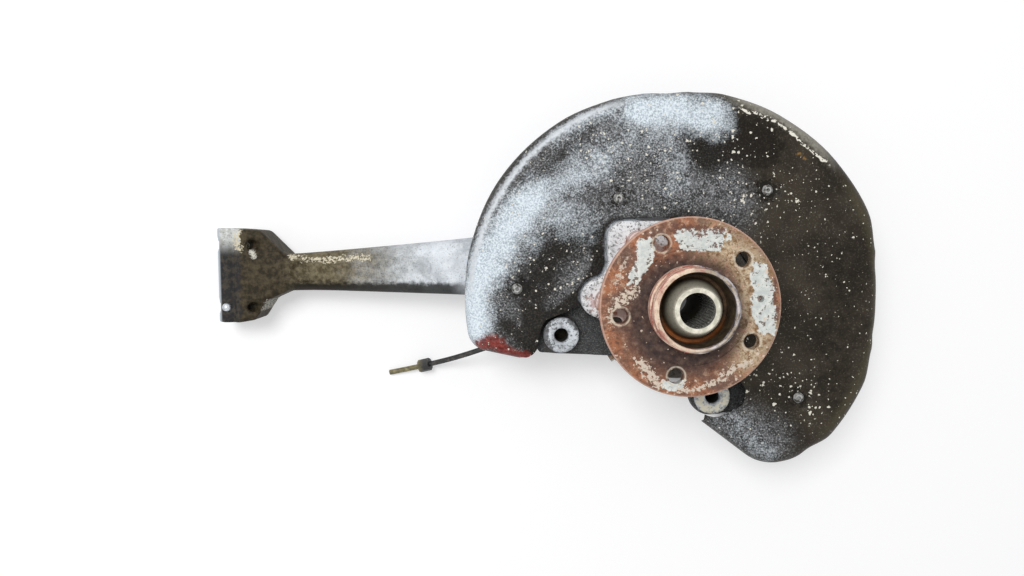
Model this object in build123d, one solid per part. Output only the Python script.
from build123d import *
from math import atan2, cos, degrees, hypot, pi, radians, sin, tan
import os

# Front steering knuckle of a multi-link axle, with its wheel bearing, wheel hub, brake dust shield
# and wheel speed sensor. Lengths are in millimetres.
#
# Frame: the origin is the centre of the wheel flange's outer face, on the wheel's axis. +Z is that
# axis and points outboard, to the wheel. -X is the car's up direction, along the long neck, and the
# part lies on its inboard side, with the ground at z = GROUND.

# ---- driving dimensions -------------------------------------------------------------------------
GROUND = -140.0            # plane that the head and the two lower bosses rest on
SEAT_GAP = 0.05            # between pieces that are pressed or screwed together

# wheel hub
FLANGE_R = 72.0
FLANGE_T = 9.0
FLANGE_CHAMFER = 1.2
RELIEF_R = 47.0            # shallow turned relief round the spigot
RELIEF_DEPTH = 0.7
BOLT_PCD = 112.0
BOLT_COUNT = 5
BOLT_HOLE_R = 6.25         # M14 x 1.5 thread, at its minor diameter
BOLT_HOLE_CHAMFER = 1.3    # width of the flat lead-in at a tapped hole
CHAMFER_SINK = 0.45        # and its depth
BOLT_FIRST_ANGLE = 43.0
SCREW_HOLE_R = 2.6         # M6 hole for the brake disc's screw, midway between two bolts
DISC_SPIGOT_R = 34.0
DISC_SPIGOT_H = 9.0
WHEEL_SPIGOT_R = 33.25
SPIGOT_H = 25.0
SPIGOT_LEAD = 2.0          # lead chamfer on the spigot's rim
SPIGOT_GROOVE = 0.9
SPIGOT_GROOVE_W = 2.0
CUP_RIM_R = 29.8           # hollow of the spigot, at its rim and at its floor
CUP_FLOOR_R = 27.0
CUP_FLOOR = 5.0
CUP_FLOOR_ROUND = 1.2
COLLAR_H = 23.5            # seat of the axle bolt's head
COLLAR_SEAT_R = 18.4
COLLAR_FOOT_R = 24.4       # its flank widens towards the floor
COLLAR_ROUND = 2.4
PILOT_R = 13.9             # plain stretch of the bore at its outboard end
PILOT_L = 6.0
SPLINE_TEETH = 36
SPLINE_MINOR_R = 13.6
SPLINE_MAJOR_R = 14.8
SPLINE_END = -26.0         # past it the bore is plain and wider
SPLINE_GAP_SHARE = 0.52    # width of a tooth space as a share of the pitch
SPLINE_FLANK_LEAN = 1.24   # width of a tooth space at its mouth over the width at its root
SPLINE_MOUTH = 0.5         # how far the cutter for a tooth space starts inside the bore
RELIEF_BORE_R = 16.5
HUB_CHAMFER = 2.0
HAT_R = 45.0               # boss behind the flange
HAT_END = -20.0
HUB_END = -87.0
ROLLED_COLLAR_R = 26.5     # end of the hub, rolled over the inner ring

# wheel bearing
BALL_R = 5.8
BALL_COUNT = 13
BALL_PITCH_R = 32.5
RACE_CLEARANCE = 0.18      # between a ball and its groove
ROW_TOP_Z = -34.0
ROW_SPACING = 28.0
STEM_R = 29.0              # outside of the hub's stem and of the inner ring
INNER_SEAT_R = 22.5
INNER_RING_TOP = -48.0
OUTER_BORE_R = 36.0
OUTER_RING_R = 44.0
OUTER_RING_TOP = -22.0
OUTER_RING_END = -80.0
RING_CHAMFER = 1.0
SEAL_T = 2.6
SEAL_INSET = 1.2
SEAL_LIP_GAP = 0.15
ENCODER_T = 1.3
ENCODER_R = 35.2
ENCODER_GAP = 0.6          # between the ring and the hub's rolled end
CAGE_T = 2.2
CAGE_HALF_W = 7.4
CAGE_POCKET_GAP = 0.2

# bearing flange and its bolts
MOUNT_Z = -50.0            # where the bearing's ears seat on the knuckle
EAR_T = 12.0
EAR_R = 12.5
EAR_ROUND = 1.5
EAR_WAIST_R = 50.0
EAR_BLEND = 7.0
EAR_PITCH_R = 58.5
EAR_ANGLES = (124.0, 180.0, 304.0, 360.0)
BOLT_R = 6.0               # M12 shank
BOLT_CLEARANCE_R = 6.6
BOLT_SEAT_Z = -82.0
BOLT_FLANGE_R = 11.0
BOLT_FLANGE_T = 2.2
BOLT_HEAD_R = 8.6
BOLT_HEAD_H = 8.5
BOLT_SOCKET_R = 4.2
BOLT_SOCKET_DEPTH = 6.0
BOLT_END_GAP = 1.0         # how far a bolt's end stays below its ear's face
BOLT_HEAD_ROOM = 1.0       # round the bolt's flange, in the knuckle

# knuckle: bearing carrier and its pads
CARRIER_R = 62.0
CARRIER_END = -84.0
CARRIER_BORE_R = OUTER_RING_R + 0.2
PAD_R = 67.0
PAD_T = 14.0
PAD_BLEND = 10.0
PAD_ROUND = 1.5
PAD_SHOULDER = ((-9.0, 55.0), (-46.0, 55.0), (-46.0, 40.0))   # line that the pad's square corner follows
PAD_SHOULDER_R = 14.0
PAD_LOBES = (              # pitch radius, angle and radius of each lobe
    (65.5, 177.5, 17.0),
    (63.0, 304.0, 15.0),
    (63.0, 360.0, 15.0),
)
BOLT_LOBE_R = 15.0

# knuckle: neck and head
NECK = (                   # at the middle x, y, z, then the width across y, height and corner radius
    (-34.0, 31.0, -70.0, 84.0, 22.0, 6.0),
    (-100.0, 31.0, -81.0, 68.0, 30.0, 10.0),
    (-181.0, 28.0, -97.0, 52.0, 34.0, 12.0),
    (-262.0, 25.0, -106.0, 42.0, 31.0, 11.0),
    (-338.0, 22.3, -112.0, 34.5, 28.0, 10.0),
    (-376.0, 20.0, -115.0, 36.0, 26.0, 9.0),
)
POCKET_FROM = (-345.0, 22.6, -98.0)      # middle of the neck's pocket at its upper end
POCKET_TO = (-215.0, 26.6, -85.4)
POCKET_W = 20.0
POCKET_DEPTH = 5.0
POCKET_CUT = 20.0          # height of the pocket's cutter
HEAD_TOP = -101.0
HEAD_ROUND = 3.5
HEAD_CORNER_R = 5.0
HEAD_SHOULDER_X = -397.0   # where the block meets the barrel
HEAD_OUTLINE = (
    (HEAD_SHOULDER_X, 62.6), (-374.0, 60.8), (-351.0, 38.0), (-344.0, 22.0),
    (-350.0, 4.0), (-368.0, -4.0), (-380.0, -22.5), (HEAD_SHOULDER_X, -25.3),
)
BARREL_R = 9.6             # rounded boss across the head's upper end
BARREL_X = -405.4
BARREL_Z = -110.4
BARREL_Y = (-24.6, 62.9)
HEAD_END_X = -415.0
PIN_SPACING = 57.5
PIN_MIDDLE_Y = 18.6
PIN_R = 8.0
PIN_Z = -113.0
PIN_BORE_L = 27.0
PIN_SLIT_W = 2.6
PINCH_R = 5.3
PINCH_X = -401.0
PINCH_OVERLAP = 1.8        # how far the pinch bolt's bore cuts into each pin bore
KNOCK_R = 4.6              # sloping hole behind each pin bore, out through the head's face
KNOCK_FROM_X = -392.0
KNOCK_TO_X = -377.0
PLUG_R = 4.2               # closing plug in the barrel, with a domed top
PLUG_SHANK_R = 3.2
PLUG_L = 2.4
PLUG_Y = -10.2
PLUG_SINK = 1.2            # depth of the flat that its dome sits on
PLUG_SEAT_GAP = 0.4        # round the dome

# knuckle: caliper ears
EAR_A = (-98.3, -30.7)
EAR_B = (35.0, -85.3)
CALIPER_FACE_Z = -60.0
CALIPER_BOSS_R = 15.8
CALIPER_BOSS_L = 33.0
CALIPER_BOSS_CHAMFER = 1.2
CALIPER_HOLE_R = 6.25      # M14 x 1.5 thread, at its minor diameter
CALIPER_HOLE_L = 27.0
CALIPER_WEB_TOP = -69.0
CALIPER_WEB_T = 11.0
CALIPER_WEB_A = (          # from the outer side of ear A round to the carrier and the neck
    (-117.0, -47.5), (-50.0, -50.5), (-20.0, 0.0), (-60.0, 30.0), (-123.0, 22.0), (-123.0, -38.5),
)
CALIPER_WEB_B = ((57.0, -86.0, 15.0), (38.0, -42.0, 20.0))    # x, y, radius beside and behind ear B
CALIPER_WEB_R = 18.5       # of the web round ear B's boss
CALIPER_RIB_R = 6.5
CALIPER_RIB_REACH = 0.55   # the ribs' inner ends, as a share of the ears' distance from the axis
CALIPER_RIB_END = 4.0      # how far a rib stops short of its boss's end

# knuckle: lower joints, steering arm and the shield's rivet posts
JOINT_BOSS_R = 18.0
JOINT_BOSS_L = 32.0
JOINT_MOUTH_R = 9.6        # tapered seat of a ball pin, at its wide end and its narrow end
JOINT_THROAT_R = 7.6
JOINT_CHAMFER = 1.5
JOINT_ROOM_R = 13.0        # cleared round each seat's upper end, for a nut or a joint's boot
JOINT_ROOM_L = 22.0
ARM_ROOT = (-72.0, 48.0, 22.0, 6.0)      # z, width, height and corner radius where an arm leaves the carrier
ARM_MIDDLE = (32.0, 24.0, 8.0)           # width, height and corner radius half way along it
ARM_END = (26.0, 24.0, 8.0)
ARM_SINK = 14.0            # how far an arm's root starts inside the carrier
LOWER_FRONT = (122.0, 44.0, GROUND + JOINT_BOSS_R)
LOWER_REAR = (126.0, -54.0, GROUND + JOINT_BOSS_R)
STEERING = (84.0, 111.0, -96.0)
POST_R = 8.0
POST_RIB_T = 12.0
POST_RIB_REACH = (0.5, 0.4)              # inner ends of the ribs of the first and the last post

# dust shield
SHIELD_TOP = -56.0
SHIELD_T = 1.2
SHIELD_R = 180.5
SHIELD_CENTRE = (-2.5, 0.5)
SHIELD_DEPTH = 18.0
SHIELD_ROLL = 13.0
SHIELD_EDGE_LEFT = (-112.0, -56.4, 168.1)     # start of each straight lower edge, and the way it runs
SHIELD_EDGE_RIGHT = (8.0, -94.1, -37.1)
SHIELD_CORNER_ROUNDS = (20.0, 38.0)           # where those edges meet the rim, left and right
SHIELD_OPENING = (                            # x, y and corner radius
    (-124.0, -80.0, 0.0), (-118.5, -32.0, 12.0), (-114.0, -17.5, 9.0), (-95.0, -9.5, 0.0),
    (-60.0, 10.0, 9.0), (10.0, -40.0, 0.0), (55.0, -66.0, 8.0), (62.5, -77.0, 8.0),
    (61.5, -90.5, 7.0), (51.0, -98.0, 0.0), (27.5, -99.5, 0.0), (27.5, -145.0, 0.0),
)
SHIELD_EAR_GAP = 1.5                          # round the boss of the ear that the opening's edge passes
SHIELD_PAD_GAP = 2.4
DIMPLE_R = 9.5
DIMPLE_DEPTH = 2.0
DIMPLE_SLOPE = 3.0
DIMPLE_LAP = 0.5           # ring of flat sheet that each dimple brings with it
RIVETS = ((-49.9, 88.5), (77.4, 95.3), (-137.2, 10.4), (109.3, -85.2))
RIVET_SHANK_R = 2.4
RIVET_HOLE_R = 2.55
RIVET_HEAD_R = 4.6
RIVET_HEAD_H = 2.6
RIVET_BRIM_H = 0.8
RIVET_CROWN_R = 3.0
RIVET_MANDREL_R = 1.5
RIVET_L = 9.0

# wheel speed sensor and its lead
SENSOR_ANGLE = 212.0
SENSOR_Z = -88.8
SENSOR_R = 8.4
SENSOR_TIP_R = 5.0
SENSOR_TIP_END = 30.5      # distance of the tip from the wheel's axis
SENSOR_SHOULDER = OUTER_RING_R + 1.0
SENSOR_SEAT = 67.0         # distance of its lug's seat from the wheel's axis
SENSOR_GAP = 0.15
SENSOR_SPOTFACE = 1.5
SENSOR_SPOTFACE_L = 16.0
SENSOR_BOSS_R = 12.0
SENSOR_BOSS_WALL = 1.0     # wall of the screw's boss past the lug
SENSOR_BORE_START = 25.0   # distance of the sensor's bore from the wheel's axis, at its inner end
SENSOR_LUG_T = 3.2
SENSOR_LUG_PITCH = 18.0
SENSOR_LUG_R = 6.5
SENSOR_CAP_R = 6.8
SENSOR_CAP_L = 9.0
SENSOR_TAIL_R = 5.0        # strain relief, which leaves the cap to the side and downwards
SENSOR_TAIL_L = 14.0
SENSOR_TAIL_SLOPE = 51.7   # degrees below the flange's plane, towards -X
SENSOR_SCREW_R = 2.9
SENSOR_SCREW_L = 16.0
SENSOR_SCREW_HEAD_R = 5.0
SENSOR_SCREW_HEAD_H = 4.0
SENSOR_SOCKET_R = 2.4
SENSOR_SOCKET_DEPTH = 2.5
LEAD_R = 2.5
LEAD_EXIT_RUN = 14.0       # first straight of the lead, in line with the strain relief
TURN_SHARE = 0.45          # share of the shorter run beside a corner that the corner's arc takes
LEAD_ROUTE = (             # the rest of its points, to the cut end
    (-95.0, -39.6, -117.5),
    (-112.0, -39.4, -118.5),
    (-132.0, -40.5, -114.5),
    (-151.0, -43.5, -108.0),
    (-168.5, -49.5, -104.5),
    (-190.0, -58.0, -114.5),
    (-209.0, -65.0, -126.5),
    (-240.0, -73.6, -135.3),
    (-261.0, -78.0, -137.45),
)
GROMMET_R = 6.2
GROMMET_L = 11.0
GROMMET_SIDES = 8
GROMMET_GAP = 0.05
GROMMET_SHARE = 0.55       # place of its middle along the last run but one

# ---- sizes that follow ---------------------------------------------------------------------------
ROW_END_Z = ROW_TOP_Z - ROW_SPACING
GROOVE_R = BALL_R + RACE_CLEARANCE
EAR_TOP_Z = MOUNT_Z + EAR_T
PAD_END_Z = MOUNT_Z - PAD_T
SCREW_ANGLE = BOLT_FIRST_ANGLE - 180.0 / BOLT_COUNT
PIN_YS = (PIN_MIDDLE_Y + PIN_SPACING / 2, PIN_MIDDLE_Y - PIN_SPACING / 2)
PINCH_Z = PIN_Z - (PIN_R + PINCH_R - PINCH_OVERLAP)
CALIPER_BOSS_END = CALIPER_FACE_Z - CALIPER_BOSS_L
CALIPER_HOLE_END = CALIPER_FACE_Z - CALIPER_HOLE_L
CALIPER_WEB_END = CALIPER_WEB_TOP - CALIPER_WEB_T
JOINTS = ((LOWER_FRONT, 1), (LOWER_REAR, 1), (STEERING, -1))   # centre, and the way each mouth faces
POST_TOP = SHIELD_TOP - DIMPLE_DEPTH - SHIELD_T
DIMPLE_FLOOR = SHIELD_TOP - DIMPLE_DEPTH
PLUG_SEAT_Z = BARREL_Z + BARREL_R - PLUG_SINK
BARREL_L = BARREL_Y[1] - BARREL_Y[0]
BARREL_MIDDLE_Y = sum(BARREL_Y) / 2
PAD_RIB_END = PAD_END_Z - POST_RIB_T
NEAR = 0.01                # slack when an edge or a corner is looked up by its place
PROUD = 1.0                # how far a cutting tool stands out of what it cuts


# ---- helpers -------------------------------------------------------------------------------------
def round_place(angle, radius):
    """The point x, y at an angle and a distance from the wheel's axis."""
    return radius * cos(radians(angle)), radius * sin(radians(angle))


def upright(radius, low, high, x=0.0, y=0.0):
    """A cylinder along Z between two heights."""
    return Pos(x, y, (low + high) / 2) * Cylinder(radius, high - low)


def ring(outer, inner, low, high):
    return upright(outer, low, high) - upright(inner, low, high)


def turned(points):
    """A solid of revolution about Z from a closed outline of radius, height."""
    return revolve(polygon([(r, 0, z) for r, z in points]), Axis.Z, 360)


def plate(face, low, high):
    """A flat face of the XY plane, as a plate between two heights."""
    return Pos(0, 0, low) * extrude(face, high - low)


def polygon(points):
    return make_face(Polyline(*points, close=True))


def rounded(face, x, y, radius):
    """The face with its corner nearest to x, y rounded."""
    corner = face.vertices().sort_by_distance((x, y, 0))[0]
    return fillet(corner, radius)


def sharp_corners(face):
    """The corners at which the face's outline turns, without those that join a line to its arc."""
    corners = []
    for corner in face.vertices():
        here = corner.center()
        ways = [edge % end for edge in face.edges() for end in (0, 1) if (edge @ end - here).length < NEAR]
        if abs(ways[0].dot(ways[1])) < 1 - NEAR:
            corners.append(corner)
    return corners


def circles_at(body, radius, z):
    """The body's round edges of a radius, at a height."""
    rings = body.edges().filter_by(GeomType.CIRCLE)
    return rings.filter_by(lambda e: abs(e.radius - radius) < NEAR and abs(e.center().Z - z) < NEAR)


def crosswise(radius, length, x, y, z):
    """A cylinder along the X axis."""
    return Pos(x, y, z) * Rot(0, 90, 0) * Cylinder(radius, length)


def lengthwise(radius, length, x, y, z):
    """A cylinder along the Y axis."""
    return Pos(x, y, z) * Rot(90, 0, 0) * Cylinder(radius, length)


def lead_in(radius, width):
    """A shallow cone that widens a hole at the face which its middle lies on."""
    return Cone(radius, radius + 2 * width, 2 * CHAMFER_SINK)


def link(start, start_r, end, end_r):
    """The outline that a belt round two circles would have."""
    (x0, y0), (x1, y1) = start, end
    gap = hypot(x1 - x0, y1 - y0)
    along = degrees(atan2(y1 - y0, x1 - x0))
    lean = degrees(atan2(start_r - end_r, gap))
    corners = []
    ends = ((x0, y0, start_r, 1), (x1, y1, end_r, 1), (x1, y1, end_r, -1), (x0, y0, start_r, -1))
    for x, y, r, side in ends:
        turn = radians(along + side * (90 - lean))
        corners.append((x + r * cos(turn), y + r * sin(turn)))
    return polygon(corners) + Pos(x0, y0) * Circle(start_r) + Pos(x1, y1) * Circle(end_r)


def beam(sections, heading=(1, 0, 0)):
    """A smooth cast arm through upright sections of x, y, z, width, height and corner radius."""
    faces = []
    for x, y, z, width, height, corner in sections:
        across = Vector(0, 0, 1).cross(Vector(*heading))
        place = Plane(origin=(x, y, z), x_dir=across, z_dir=heading)
        faces.append(place * RectangleRounded(width, height, corner))
    return loft(faces)


def radial(radius, start, end, angle, z, offset=0.0):
    """A cylinder along a spoke of the wheel, between two distances from the axis."""
    spoke = Pos((start + end) / 2, offset, z) * Rot(0, 90, 0) * Cylinder(radius, end - start)
    return Rot(0, 0, angle) * spoke


# ---- wheel hub -----------------------------------------------------------------------------------
def hub_section():
    """Half of the hub's section as radius and height, from the bolt's seat outwards and round."""
    groove_top = DISC_SPIGOT_H + SPIGOT_GROOVE_W
    groove_r = WHEEL_SPIGOT_R - SPIGOT_GROOVE
    pilot_end = COLLAR_H - PILOT_L
    return (
        (PILOT_R, COLLAR_H), (COLLAR_SEAT_R, COLLAR_H), (COLLAR_FOOT_R, CUP_FLOOR), (CUP_FLOOR_R, CUP_FLOOR),
        (CUP_RIM_R, SPIGOT_H), (WHEEL_SPIGOT_R - SPIGOT_LEAD, SPIGOT_H),
        (WHEEL_SPIGOT_R, SPIGOT_H - SPIGOT_LEAD), (WHEEL_SPIGOT_R, groove_top), (groove_r, groove_top),
        (groove_r, DISC_SPIGOT_H), (DISC_SPIGOT_R, DISC_SPIGOT_H), (DISC_SPIGOT_R, -RELIEF_DEPTH),
        (RELIEF_R, -RELIEF_DEPTH), (RELIEF_R, 0), (FLANGE_R - FLANGE_CHAMFER, 0),
        (FLANGE_R, -FLANGE_CHAMFER), (FLANGE_R, -FLANGE_T + FLANGE_CHAMFER),
        (FLANGE_R - FLANGE_CHAMFER, -FLANGE_T), (HAT_R, -FLANGE_T), (STEM_R, HAT_END),
        (STEM_R, INNER_RING_TOP), (INNER_SEAT_R, INNER_RING_TOP), (INNER_SEAT_R, OUTER_RING_END),
        (ROLLED_COLLAR_R, OUTER_RING_END), (ROLLED_COLLAR_R, HUB_END + HUB_CHAMFER),
        (ROLLED_COLLAR_R - HUB_CHAMFER, HUB_END), (RELIEF_BORE_R, HUB_END), (RELIEF_BORE_R, SPLINE_END),
        (SPLINE_MINOR_R, SPLINE_END), (SPLINE_MINOR_R, pilot_end), (PILOT_R, pilot_end),
    )


def wheel_hub():
    body = turned(hub_section())
    body = fillet(circles_at(body, COLLAR_SEAT_R, COLLAR_H), COLLAR_ROUND)
    body = fillet(circles_at(body, COLLAR_FOOT_R, CUP_FLOOR), CUP_FLOOR_ROUND)
    body -= Pos(0, 0, ROW_TOP_Z) * Torus(BALL_PITCH_R, GROOVE_R)
    body -= spline_spaces()
    for angle, radius, width in flange_holes():
        x, y = round_place(angle, BOLT_PCD / 2)
        body -= upright(radius, -FLANGE_T - PROUD, PROUD, x, y)
        body -= Pos(x, y, 0) * lead_in(radius, width)
        body -= Pos(x, y, -FLANGE_T) * Rot(180, 0, 0) * lead_in(radius, width)
    return body


def flange_holes():
    """The flange's holes on the bolt circle: angle, radius and width of the lead-in."""
    bolts = [(BOLT_FIRST_ANGLE + 360 * i / BOLT_COUNT, BOLT_HOLE_R, BOLT_HOLE_CHAMFER)
             for i in range(BOLT_COUNT)]
    return bolts + [(SCREW_ANGLE, SCREW_HOLE_R, BOLT_HOLE_CHAMFER / 2)]


def spline_spaces():
    """The spaces between the spline's teeth, from the plain stretch of the bore to the wide one."""
    pitch = 2 * SPLINE_MAJOR_R * sin(radians(180.0 / SPLINE_TEETH))
    root_width = SPLINE_GAP_SHARE * pitch
    mouth_width = root_width * SPLINE_FLANK_LEAN
    mouth = SPLINE_MINOR_R - SPLINE_MOUTH
    space = polygon(((mouth, -mouth_width / 2), (SPLINE_MAJOR_R, -root_width / 2),
                     (SPLINE_MAJOR_R, root_width / 2), (mouth, mouth_width / 2)))
    spaces = Sketch() + [place * space for place in PolarLocations(0, SPLINE_TEETH)]
    return plate(spaces, SPLINE_END - PROUD, COLLAR_H - PILOT_L)


# ---- wheel bearing -------------------------------------------------------------------------------
def ear_outline():
    """The bearing flange seen along the axis: a waist with four bolt ears."""
    outline = Circle(EAR_WAIST_R)
    for angle in EAR_ANGLES:
        x, y = round_place(angle, EAR_PITCH_R)
        outline += Pos(x, y) * Rot(0, 0, angle + 180) * Circle(EAR_R)
    return fillet(outline.vertices(), EAR_BLEND)


def bearing_outer_ring():
    body = ring(OUTER_RING_R, OUTER_BORE_R, OUTER_RING_END, OUTER_RING_TOP)
    ends = circles_at(body, OUTER_RING_R, OUTER_RING_TOP) + circles_at(body, OUTER_RING_R, OUTER_RING_END)
    body = chamfer(ends, RING_CHAMFER)
    flange = plate(ear_outline(), MOUNT_Z, EAR_TOP_Z)
    flange = fillet(flange.faces().sort_by(Axis.Z)[-1].edges(), EAR_ROUND)
    flange -= upright((OUTER_BORE_R + OUTER_RING_R) / 2, MOUNT_Z - PROUD, EAR_TOP_Z + PROUD)
    body += flange
    for angle in EAR_ANGLES:
        x, y = round_place(angle, EAR_PITCH_R)
        body -= upright(BOLT_R + SEAT_GAP, MOUNT_Z - PROUD, EAR_TOP_Z + PROUD, x, y)
    for z in (ROW_TOP_Z, ROW_END_Z):
        body -= Pos(0, 0, z) * Torus(BALL_PITCH_R, GROOVE_R)
    return body


def bearing_inner_ring():
    body = ring(STEM_R, INNER_SEAT_R + SEAT_GAP, OUTER_RING_END, INNER_RING_TOP - SEAT_GAP)
    return body - Pos(0, 0, ROW_END_Z) * Torus(BALL_PITCH_R, GROOVE_R)


def ball_row(z):
    return [Pos(*p, z) * Sphere(BALL_R) for p in ball_places()]


def ball_places():
    return [round_place(360 * i / BALL_COUNT, BALL_PITCH_R) for i in range(BALL_COUNT)]


def cage(z):
    """A ring with one round pocket for each ball."""
    body = ring(BALL_PITCH_R + CAGE_T / 2, BALL_PITCH_R - CAGE_T / 2, z - CAGE_HALF_W, z + CAGE_HALF_W)
    for i in range(BALL_COUNT):
        body -= radial(BALL_R + CAGE_POCKET_GAP, BALL_PITCH_R - CAGE_T, BALL_PITCH_R + CAGE_T,
                       360 * i / BALL_COUNT, z)
    return body


def outboard_seal():
    top = OUTER_RING_TOP - SEAL_INSET
    return ring(OUTER_BORE_R - SEAT_GAP, STEM_R + SEAL_LIP_GAP, top - SEAL_T, top)


def encoder_ring():
    """The magnetic ring that the speed sensor reads, pressed on the inner ring's end."""
    return ring(ENCODER_R, ROLLED_COLLAR_R + ENCODER_GAP, OUTER_RING_END - ENCODER_T, OUTER_RING_END)


def inboard_seal():
    low = OUTER_RING_END + SEAL_INSET
    return ring(OUTER_BORE_R - SEAT_GAP, STEM_R + SEAL_LIP_GAP, low, low + SEAL_T)


def bearing_bolt(angle):
    """A flanged M12 bolt with a socket head, from the inboard side into one ear."""
    brim_end = BOLT_SEAT_Z - BOLT_FLANGE_T
    head_end = brim_end - BOLT_HEAD_H
    bolt = upright(BOLT_R, BOLT_SEAT_Z, EAR_TOP_Z - BOLT_END_GAP)
    bolt += upright(BOLT_FLANGE_R, brim_end, BOLT_SEAT_Z)
    bolt += upright(BOLT_HEAD_R, head_end, brim_end)
    socket = RegularPolygon(BOLT_SOCKET_R, 6)
    bolt -= plate(socket, head_end, head_end + BOLT_SOCKET_DEPTH)
    x, y = round_place(angle, EAR_PITCH_R)
    return Pos(x, y, 0) * bolt


# ---- knuckle -------------------------------------------------------------------------------------
def pad_outline(grow=0.0):
    """The carrier's outboard face: a ring with a square shoulder and three lobes, grown all round."""
    outline = Circle(PAD_R + grow)
    for start, end in zip(PAD_SHOULDER, PAD_SHOULDER[1:]):
        outline += link(start, PAD_SHOULDER_R + grow, end, PAD_SHOULDER_R + grow)
    for pitch, angle, lobe in PAD_LOBES:
        outline += Pos(*round_place(angle, pitch)) * Rot(0, 0, angle + 180) * Circle(lobe + grow)
    return fillet(sharp_corners(outline), PAD_BLEND - grow)


def carrier():
    body = upright(CARRIER_R, CARRIER_END, MOUNT_Z)
    pad = plate(pad_outline(), PAD_END_Z, MOUNT_Z)
    body += fillet(pad.faces().sort_by(Axis.Z)[-1].edges(), PAD_ROUND)
    for angle in EAR_ANGLES:
        body += upright(BOLT_LOBE_R, CARRIER_END, PAD_END_Z, *round_place(angle, EAR_PITCH_R))
    return body


def neck():
    """The long neck, with a round-ended pocket in its outboard face."""
    start, end = Vector(*POCKET_FROM), Vector(*POCKET_TO)
    along = (end - start).normalized()
    face_up = along.cross(Vector(0, -1, 0)).normalized()
    if face_up.Z < 0:
        face_up = face_up * -1
    floor = Plane(origin=(start + end) / 2 - face_up * POCKET_DEPTH, x_dir=along, z_dir=face_up)
    slot = SlotOverall((end - start).length, POCKET_W)
    return beam(NECK) - extrude(floor * slot, POCKET_CUT)


def head():
    """The clamp head: a block with a rounded barrel across its upper end."""
    block = plate(polygon(HEAD_OUTLINE), GROUND, HEAD_TOP)
    block = fillet([e for e in block.edges().filter_by(Axis.Z) if e.center().X > HEAD_SHOULDER_X + NEAR],
                   HEAD_CORNER_R)
    top = block.faces().sort_by(Axis.Z)[-1]
    block = fillet([e for e in top.edges() if e.center().X > HEAD_SHOULDER_X + NEAR], HEAD_ROUND)
    rear_x = (HEAD_END_X + HEAD_SHOULDER_X) / 2
    rear = Box(HEAD_SHOULDER_X - HEAD_END_X, BARREL_L, BARREL_Z - GROUND)
    rear = Pos(rear_x, BARREL_MIDDLE_Y, (GROUND + BARREL_Z) / 2) * rear
    return block + rear + lengthwise(BARREL_R, BARREL_L, BARREL_X, BARREL_MIDDLE_Y, BARREL_Z)


def head_bores():
    """What is cut from the head: pin bores, their slits and knock-out holes, and the pinch bolt's bore."""
    rise = HEAD_TOP - PIN_Z
    run = KNOCK_TO_X - KNOCK_FROM_X
    slope_l = 2 * hypot(run, rise)
    deep = PIN_BORE_L + PROUD
    middle_x = HEAD_END_X + (PIN_BORE_L - PROUD) / 2
    slit = Box(deep, PIN_SLIT_W, PIN_Z - GROUND + PROUD)
    cuts = []
    for y in PIN_YS:
        slope = Plane(origin=(KNOCK_FROM_X, y, PIN_Z), z_dir=(run, 0, rise))
        cuts.append(crosswise(PIN_R, deep, middle_x, y, PIN_Z))
        cuts.append(Pos(middle_x, y, (PIN_Z + GROUND - PROUD) / 2) * slit)
        cuts.append(slope * Pos(0, 0, slope_l / 2) * Cylinder(KNOCK_R, slope_l))
    cuts.append(lengthwise(PINCH_R, BARREL_L + 2 * PROUD, PINCH_X, BARREL_MIDDLE_Y, PINCH_Z))
    return cuts


def caliper_ears():
    """Two bosses for the brake caliper, each with a web and a rib back to the carrier."""
    beside, behind = [((x, y), r) for x, y, r in CALIPER_WEB_B]
    ear = (EAR_B, CALIPER_WEB_R)
    web = polygon(CALIPER_WEB_A) + link(*ear, *beside) + link(*beside, *behind) + link(*ear, *behind)
    body = plate(web, CALIPER_WEB_END, CALIPER_WEB_TOP)
    for x, y in (EAR_A, EAR_B):
        rib = link((x, y), CALIPER_RIB_R, (x * CALIPER_RIB_REACH, y * CALIPER_RIB_REACH), CALIPER_RIB_R)
        body += plate(rib, CALIPER_BOSS_END + CALIPER_RIB_END, CALIPER_WEB_TOP)
        boss = upright(CALIPER_BOSS_R, CALIPER_BOSS_END, CALIPER_FACE_Z, x, y)
        body += chamfer(boss.edges().filter_by(GeomType.CIRCLE), CALIPER_BOSS_CHAMFER)
    return body


def caliper_holes():
    """The two blind tapped holes for the caliper's bolts."""
    holes = []
    for x, y in (EAR_A, EAR_B):
        hole = upright(CALIPER_HOLE_R, CALIPER_HOLE_END, CALIPER_FACE_Z + PROUD, x, y)
        holes.append(hole + Pos(x, y, CALIPER_FACE_Z) * lead_in(CALIPER_HOLE_R, BOLT_HOLE_CHAMFER))
    return holes


def lower_arms():
    """Arms to the two lower ball joints and the tie rod, each ending in a boss along the car's height."""
    body = Part()
    root_z, *root_size = ARM_ROOT
    for (x, y, z), _ in JOINTS:
        boss = crosswise(JOINT_BOSS_R, JOINT_BOSS_L, x, y, z)
        body += chamfer(boss.edges().filter_by(GeomType.CIRCLE), JOINT_CHAMFER)
        root = (CARRIER_R - ARM_SINK) / hypot(x, y)
        middle = (root + 1) / 2
        body += beam((
            (x * root, y * root, root_z, *root_size),
            (x * middle, y * middle, (z + root_z) / 2, *ARM_MIDDLE),
            (x, y, z, *ARM_END),
        ), (x, y, 0))
    return body


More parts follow.
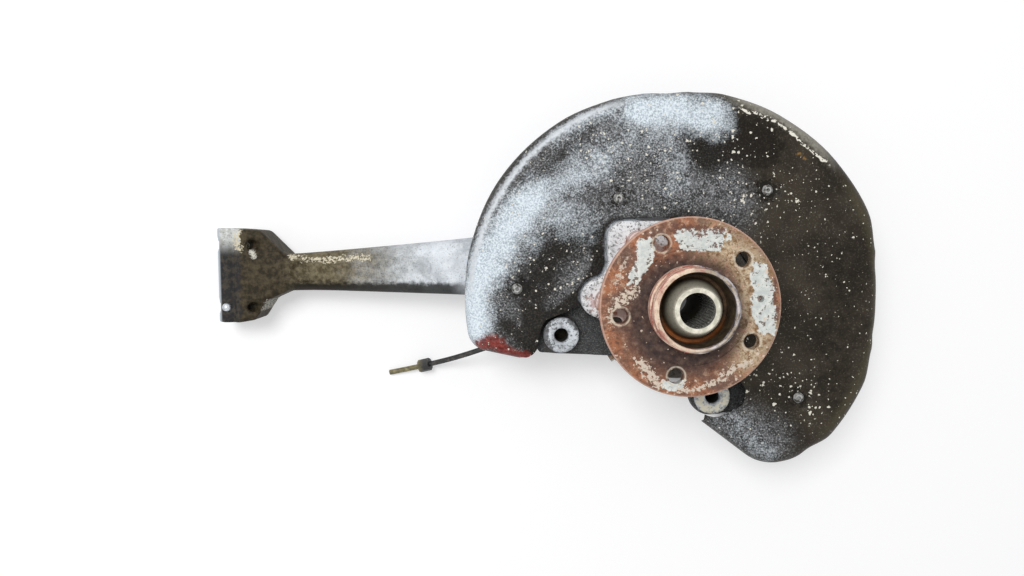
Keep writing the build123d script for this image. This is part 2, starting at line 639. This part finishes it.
def joint_seats():
    """The tapered seats of the ball pins, each with room for its nut or boot at its upper end."""
    seats = []
    for (x, y, z), facing in JOINTS:
        taper = Cone(JOINT_THROAT_R, JOINT_MOUTH_R, JOINT_BOSS_L)
        seats.append(Pos(x, y, z) * Rot(0, 90 * facing, 0) * taper)
        room_x = x - (JOINT_BOSS_L + JOINT_ROOM_L) / 2
        seats.append(crosswise(JOINT_ROOM_R, JOINT_ROOM_L, room_x, y, z))
    return seats


def shield_posts():
    """Posts that the dust shield is riveted to. The first and the last have a rib to the carrier."""
    body = upright(POST_R, NECK[1][2], POST_TOP, *RIVETS[2])
    body += upright(POST_R, STEERING[2], POST_TOP, *RIVETS[1])
    for (x, y), root in zip((RIVETS[0], RIVETS[3]), POST_RIB_REACH):
        rib = link((x, y), POST_R, (x * root, y * root), POST_R)
        body += plate(rib, PAD_RIB_END, PAD_END_Z)
        body += upright(POST_R, PAD_RIB_END, POST_TOP, x, y)
    return body


def sensor_boss():
    """The boss that holds the speed sensor on a spoke, with a second one for its screw."""
    reach = (SENSOR_SHOULDER, SENSOR_SEAT, SENSOR_ANGLE, SENSOR_Z)
    return radial(SENSOR_BOSS_R, *reach) + radial(SENSOR_LUG_R + SENSOR_BOSS_WALL, *reach, SENSOR_LUG_PITCH)


def sensor_bores():
    """The sensor's bore, the spotface that its lug seats on, and its screw's hole."""
    bore = radial(SENSOR_R + SENSOR_GAP, SENSOR_BORE_START, SENSOR_SEAT, SENSOR_ANGLE, SENSOR_Z)
    spotface = radial(SENSOR_R + SENSOR_SPOTFACE, SENSOR_SEAT, SENSOR_SEAT + SENSOR_SPOTFACE_L,
                      SENSOR_ANGLE, SENSOR_Z)
    screw = radial(SENSOR_SCREW_R + SEAT_GAP, SENSOR_SEAT - SENSOR_SCREW_L, SENSOR_SEAT, SENSOR_ANGLE,
                   SENSOR_Z, SENSOR_LUG_PITCH)
    return [bore, spotface, screw]


def knuckle():
    body = carrier() + neck() + head() + caliper_ears() + lower_arms() + shield_posts() + sensor_boss()
    body -= upright(CARRIER_BORE_R, GROUND, MOUNT_Z + PROUD)
    for angle in EAR_ANGLES:
        x, y = round_place(angle, EAR_PITCH_R)
        body -= upright(BOLT_CLEARANCE_R, GROUND, MOUNT_Z + PROUD, x, y)
        body -= upright(BOLT_FLANGE_R + BOLT_HEAD_ROOM, GROUND, BOLT_SEAT_Z, x, y)
    for cut in caliper_holes() + joint_seats() + head_bores() + sensor_bores():
        body -= cut
    body -= upright(PLUG_R + PLUG_SEAT_GAP, PLUG_SEAT_Z, HEAD_TOP + PROUD, BARREL_X, PLUG_Y)
    body -= upright(PLUG_SHANK_R + SEAT_GAP, PLUG_SEAT_Z - PLUG_L, PLUG_SEAT_Z, BARREL_X, PLUG_Y)
    for x, y in RIVETS:
        body -= upright(RIVET_SHANK_R + SEAT_GAP, DIMPLE_FLOOR - RIVET_L, DIMPLE_FLOOR, x, y)
    return body


def head_plug():
    """The domed closing plug pressed in the head's barrel."""
    ball = Pos(0, 0, PLUG_SEAT_Z) * Sphere(PLUG_R)
    dome = ball & upright(PLUG_R + PROUD, PLUG_SEAT_Z, PLUG_SEAT_Z + PLUG_R)
    return Pos(BARREL_X, PLUG_Y, 0) * (dome + upright(PLUG_SHANK_R, PLUG_SEAT_Z - PLUG_L, PLUG_SEAT_Z))


# ---- dust shield ---------------------------------------------------------------------------------
def shield_outline():
    """The pressing's outer edge: a large circle, cut off below by two straight edges."""
    reach = 2 * SHIELD_R
    (x0, y0, way0), (x1, y1, way1) = SHIELD_EDGE_LEFT, SHIELD_EDGE_RIGHT
    far0, far1 = round_place(way0, reach), round_place(way1, reach)
    left, right = (x0 + far0[0], y0 + far0[1]), (x1 + far1[0], y1 + far1[1])
    below = polygon((left, (x0, y0), (x1, y1), right, (right[0], -2 * reach), (left[0], -2 * reach)))
    centre = Vector(*SHIELD_CENTRE)
    outline = Pos(centre) * Circle(SHIELD_R) - below
    for radius in SHIELD_CORNER_ROUNDS:
        on_rim = [c for c in sharp_corners(outline) if abs((c.center() - centre).length - SHIELD_R) < NEAR]
        outline = fillet(min(on_rim, key=lambda c: c.X), radius)
    return outline


def shield_opening():
    """The opening's straight-sided part, round the caliper's ears, with its corners rounded."""
    opening = polygon([(x, y) for x, y, _ in SHIELD_OPENING])
    for x, y, radius in SHIELD_OPENING:
        if radius:
            opening = rounded(opening, x, y, radius)
    return opening + Pos(*EAR_B) * Circle(CALIPER_BOSS_R + SHIELD_EAR_GAP)


def pan(outline, low, top):
    """A block of the outline's shape between two heights, with its top edge rolled over."""
    body = plate(outline, low, top)
    roll = SHIELD_ROLL - (SHIELD_TOP - top)
    return fillet(body.faces().sort_by(Axis.Z)[-1].edges(), roll)


def dimple(x, y):
    """A pressed dimple with a flat floor, drilled for a rivet."""
    rim = DIMPLE_R + DIMPLE_SLOPE
    under, below = SHIELD_TOP - SHIELD_T, DIMPLE_FLOOR - SHIELD_T
    cup = turned((
        (RIVET_HOLE_R, below), (DIMPLE_R - SHIELD_T / 2, below), (rim - SHIELD_T / 2, under),
        (rim + DIMPLE_LAP, under), (rim + DIMPLE_LAP, SHIELD_TOP), (rim, SHIELD_TOP),
        (DIMPLE_R, DIMPLE_FLOOR), (RIVET_HOLE_R, DIMPLE_FLOOR),
    ))
    return Pos(x, y, 0) * cup


def dust_shield():
    """The pressed sheet: a shallow pan with a rolled rim, a large opening and a dimple at each rivet."""
    outline = shield_outline()
    low = SHIELD_TOP - SHIELD_DEPTH
    body = pan(outline, low, SHIELD_TOP)
    body -= pan(offset(outline, -SHIELD_T), low - PROUD, SHIELD_TOP - SHIELD_T)
    body -= plate(shield_opening() + pad_outline(SHIELD_PAD_GAP), GROUND, 0)
    for x, y in RIVETS:
        body -= upright(DIMPLE_R + DIMPLE_SLOPE, DIMPLE_FLOOR - SHIELD_T, SHIELD_TOP + PROUD, x, y)
        body += dimple(x, y)
    return body


def shield_rivet(x, y):
    """A blind rivet, with the hole that its broken-off mandrel leaves."""
    low = DIMPLE_FLOOR
    rivet = turned((
        (0, low - RIVET_L), (RIVET_SHANK_R, low - RIVET_L), (RIVET_SHANK_R, low), (RIVET_HEAD_R, low),
        (RIVET_HEAD_R, low + RIVET_BRIM_H), (RIVET_CROWN_R, low + RIVET_HEAD_H),
        (RIVET_MANDREL_R, low + RIVET_HEAD_H), (RIVET_MANDREL_R, low), (0, low),
    ))
    return Pos(x, y, 0) * rivet


# ---- wheel speed sensor and its lead -------------------------------------------------------------
def tail_frame():
    """A plane at the sensor's cap whose normal is the strain relief's axis."""
    x, y = round_place(SENSOR_ANGLE, SENSOR_SEAT + SENSOR_LUG_T + SENSOR_CAP_L / 2)
    slope = radians(SENSOR_TAIL_SLOPE)
    return Plane(origin=(x, y, SENSOR_Z), z_dir=(-cos(slope), 0, -sin(slope)))


def speed_sensor():
    """The sensor: tip, body, lug, cap and the strain relief of its lead."""
    lug_top = SENSOR_SEAT + SENSOR_LUG_T
    body = radial(SENSOR_TIP_R, SENSOR_TIP_END, SENSOR_SHOULDER, SENSOR_ANGLE, SENSOR_Z)
    body += radial(SENSOR_R, SENSOR_SHOULDER, lug_top, SENSOR_ANGLE, SENSOR_Z)
    lug = link((0, 0), SENSOR_R + SENSOR_BOSS_WALL, (0, SENSOR_LUG_PITCH), SENSOR_LUG_R)
    lug -= Pos(0, SENSOR_LUG_PITCH) * Circle(SENSOR_SCREW_R + SEAT_GAP)
    lug_plane = Plane(origin=(SENSOR_SEAT, 0, SENSOR_Z), x_dir=(0, 0, -1), z_dir=(1, 0, 0))
    body += Rot(0, 0, SENSOR_ANGLE) * extrude(lug_plane * lug, SENSOR_LUG_T)
    body += radial(SENSOR_CAP_R, SENSOR_SEAT, lug_top + SENSOR_CAP_L, SENSOR_ANGLE, SENSOR_Z)
    tail = tail_frame() * Pos(0, 0, SENSOR_TAIL_L / 2) * Cylinder(SENSOR_TAIL_R, SENSOR_TAIL_L)
    return body + tail


def sensor_screw():
    """The sensor's screw, along the next spoke, with a socket in its head."""
    place = (SENSOR_ANGLE, SENSOR_Z, SENSOR_LUG_PITCH)
    lug_top = SENSOR_SEAT + SENSOR_LUG_T
    head_end = lug_top + SENSOR_SCREW_HEAD_H
    screw = radial(SENSOR_SCREW_R, SENSOR_SEAT - SENSOR_SCREW_L + PROUD, lug_top, *place)
    screw += radial(SENSOR_SCREW_HEAD_R, lug_top, head_end, *place)
    return screw - radial(SENSOR_SOCKET_R, head_end - SENSOR_SOCKET_DEPTH, head_end, *place)


def turn_radii(route):
    """The arc at each corner of a route, which takes up a set share of the corner's shorter run."""
    radii = []
    for before, here, after in zip(route, route[1:], route[2:]):
        into, out = Vector(*here) - Vector(*before), Vector(*after) - Vector(*here)
        half_turn = radians(into.get_angle(out) / 2)
        radii.append(TURN_SHARE * min(into.length, out.length) / tan(half_turn))
    return radii


def lead_route():
    """The lead's points, from the end of the sensor's strain relief to the cut end."""
    relief = tail_frame()
    start = relief.origin + relief.z_dir * SENSOR_TAIL_L
    return [tuple(start), tuple(start + relief.z_dir * LEAD_EXIT_RUN), *LEAD_ROUTE]


def tube(path, radius):
    """A round cord along a path."""
    section = Plane(origin=path @ 0, z_dir=path % 0) * Circle(radius)
    return sweep(section, path=path)


def sensor_lead():
    route = lead_route()
    radii = turn_radii(route)
    path = FilletPolyline(*route, radius=radii)
    lead = tube(path, LEAD_R)
    print("lead route", [[round(c, 2) for c in point] for point in route])
    print("lead radii", [round(r, 1) for r in radii])
    print("lead length", round(path.length, 1), "mm")
    section = pi * LEAD_R ** 2
    print("lead volume", round(lead.volume), "and section times length", round(path.length * section))
    return lead


def lead_grommet():
    """The faceted rubber grommet near the lead's end."""
    start, end = Vector(*LEAD_ROUTE[-3]), Vector(*LEAD_ROUTE[-2])
    along = (end - start).normalized()
    middle = start + (end - start) * GROMMET_SHARE
    place = Plane(origin=middle - along * GROMMET_L / 2, z_dir=along)
    body = extrude(place * RegularPolygon(GROMMET_R, GROMMET_SIDES), GROMMET_L)
    return body - extrude(place * Circle(LEAD_R + GROMMET_GAP), GROMMET_L)


PIECES = {
    "knuckle": knuckle,
    "wheel_hub": wheel_hub,
    "bearing_outer_ring": bearing_outer_ring,
    "bearing_inner_ring": bearing_inner_ring,
    "outboard_cage": lambda: cage(ROW_TOP_Z),
    "inboard_cage": lambda: cage(ROW_END_Z),
    "outboard_balls": lambda: Compound(ball_row(ROW_TOP_Z)),
    "inboard_balls": lambda: Compound(ball_row(ROW_END_Z)),
    "outboard_seal": outboard_seal,
    "inboard_seal": inboard_seal,
    "encoder_ring": encoder_ring,
    "dust_shield": dust_shield,
    "speed_sensor": speed_sensor,
    "sensor_screw": sensor_screw,
    "sensor_lead": sensor_lead,
    "lead_grommet": lead_grommet,
    "head_plug": head_plug,
}
for number, angle in enumerate(EAR_ANGLES, 1):
    PIECES[f"bearing_bolt_{number}"] = lambda angle=angle: bearing_bolt(angle)
for number, (x, y) in enumerate(RIVETS, 1):
    PIECES[f"shield_rivet_{number}"] = lambda x=x, y=y: shield_rivet(x, y)

os.makedirs("parts", exist_ok=True)
for name, make in PIECES.items():
    export_step(make(), f"parts/{name}.step")
    print("wrote", name)
